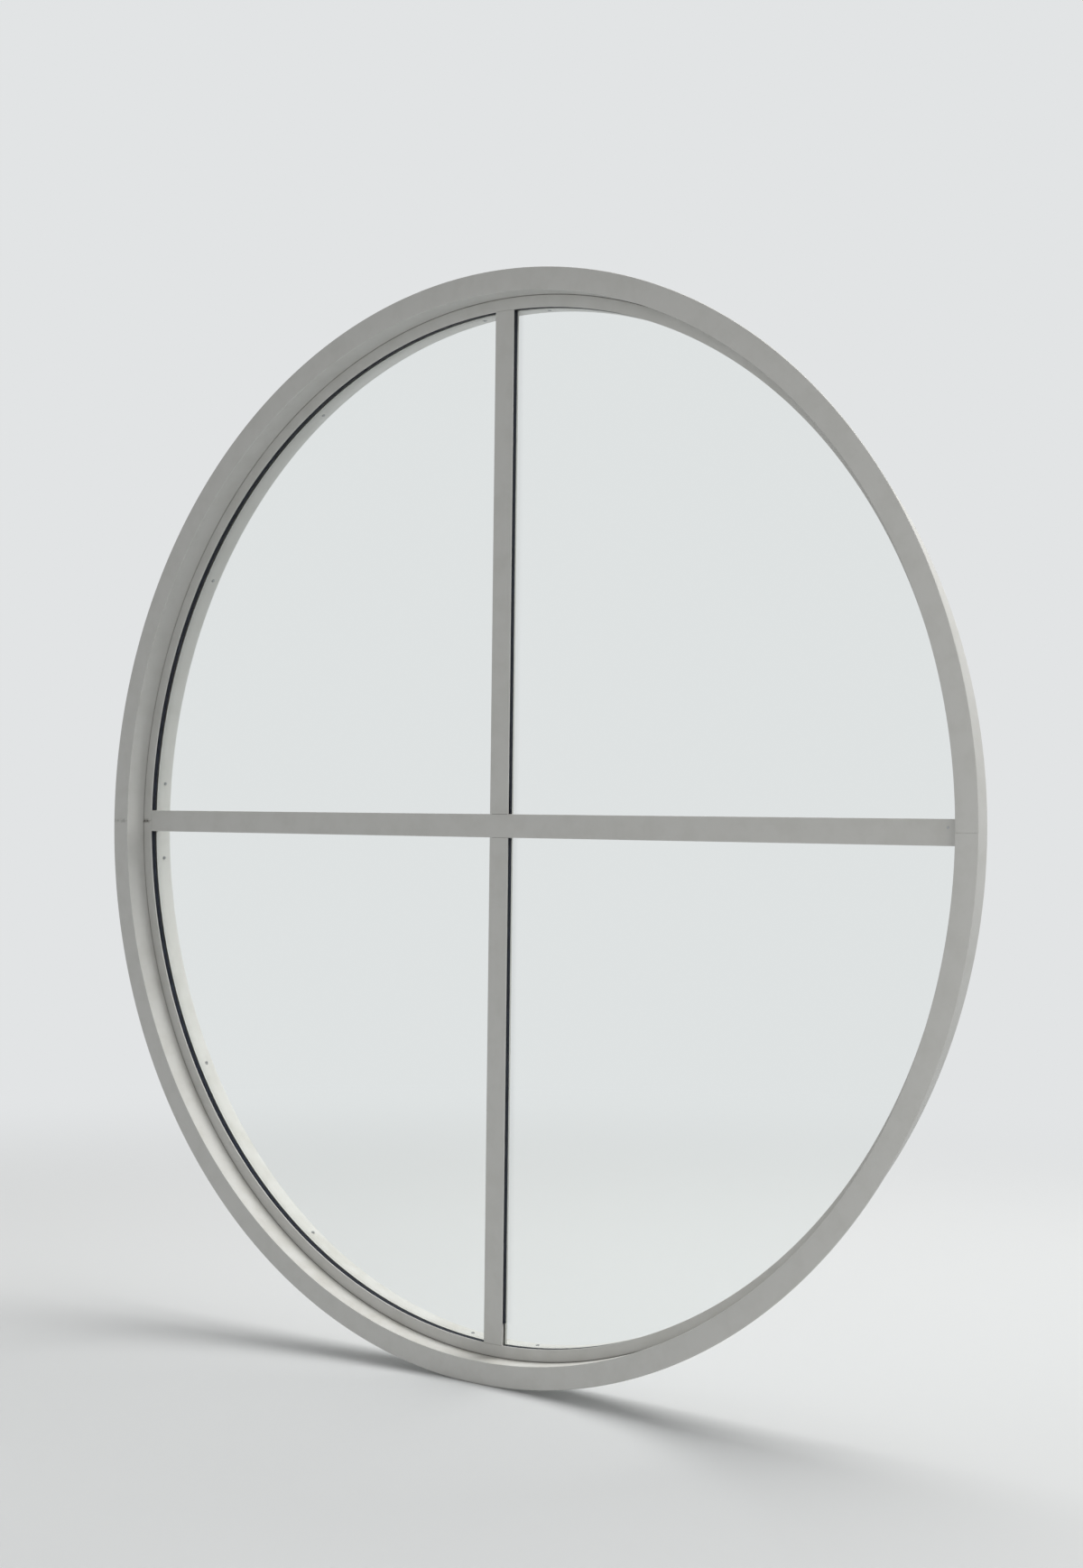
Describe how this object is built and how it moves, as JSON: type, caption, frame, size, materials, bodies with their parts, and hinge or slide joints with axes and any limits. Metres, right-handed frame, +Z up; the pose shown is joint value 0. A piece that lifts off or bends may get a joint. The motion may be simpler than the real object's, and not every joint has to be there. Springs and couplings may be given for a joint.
{
  "type": "round fixed window",
  "caption": "Large round fixed window: white aluminium casing ring with a recessed glazing ring, a cross of flat bars and quarter-circle panes bedded on black gaskets.",
  "frame": {"origin": "centre of the window on the plane where the casing's flange bears on the wall", "axes": "+X to the right seen from the room, +Y outdoors along the window's axis, +Z up"},
  "size_m": [2.349, 0.116, 2.3486],
  "materials": {
    "white_paint": "white polyester powder coat on aluminium",
    "clear_glass": "clear float glass",
    "black_rubber": "extruded black gasket rubber",
    "white_tape": "pale foam glazing tape",
    "block_rubber": "moulded setting block rubber",
    "screw_steel": "plain stainless steel",
    "mill_aluminium": "mill finish aluminium"
  },
  "bodies": {
    "root": {"bar_end_block_left": "mill_aluminium", "bar_end_block_right": "mill_aluminium", "bar_rivet": "screw_steel", "cap_horizontal": "white_paint", "cap_lower": "white_paint", "cap_screws": "screw_steel", "cap_upper": "white_paint", "casing_lower": "white_paint", "casing_upper": "white_paint", "centre_cleat_lower_left": "mill_aluminium", "centre_cleat_lower_right": "mill_aluminium", "centre_cleat_upper_left": "mill_aluminium", "centre_cleat_upper_right": "mill_aluminium", "cleat_screws": "screw_steel", "end_cleat_lower_left": "mill_aluminium", "end_cleat_lower_right": "mill_aluminium", "end_cleat_upper_left": "mill_aluminium", "end_cleat_upper_right": "mill_aluminium", "gasket_arc_lower_left": "black_rubber", "gasket_arc_lower_right": "black_rubber", "gasket_arc_upper_left": "black_rubber", "gasket_arc_upper_right": "black_rubber", "gasket_jamb_lower_left": "black_rubber", "gasket_jamb_lower_right": "black_rubber", "gasket_jamb_upper_left": "black_rubber", "gasket_jamb_upper_right": "black_rubber", "gasket_sill_lower_left": "black_rubber", "gasket_sill_lower_right": "black_rubber", "gasket_sill_upper_left": "black_rubber", "gasket_sill_upper_right": "black_rubber", "glass_lower_left": "clear_glass", "glass_lower_right": "clear_glass", "glass_upper_left": "clear_glass", "glass_upper_right": "clear_glass", "glazing_ring_lower": "white_paint", "glazing_ring_upper": "white_paint", "glazing_tape_lower_left": "white_tape", "glazing_tape_lower_right": "white_tape", "glazing_tape_upper_left": "white_tape", "glazing_tape_upper_right": "white_tape", "horizontal_bar": "white_paint", "outer_stop_lower_left": "white_paint", "outer_stop_lower_right": "white_paint", "outer_stop_upper_left": "white_paint", "outer_stop_upper_right": "white_paint", "ring_screws": "screw_steel", "ring_spigot_left": "mill_aluminium", "ring_spigot_right": "mill_aluminium", "setting_blocks_bar": "block_rubber", "setting_blocks_sill": "block_rubber", "side_cleat_lower_left": "mill_aluminium", "side_cleat_lower_right": "mill_aluminium", "side_cleat_upper_left": "mill_aluminium", "side_cleat_upper_right": "mill_aluminium", "stop_screws": "screw_steel", "vertical_bar_lower": "white_paint", "vertical_bar_upper": "white_paint"}
  },
  "joints": []
}
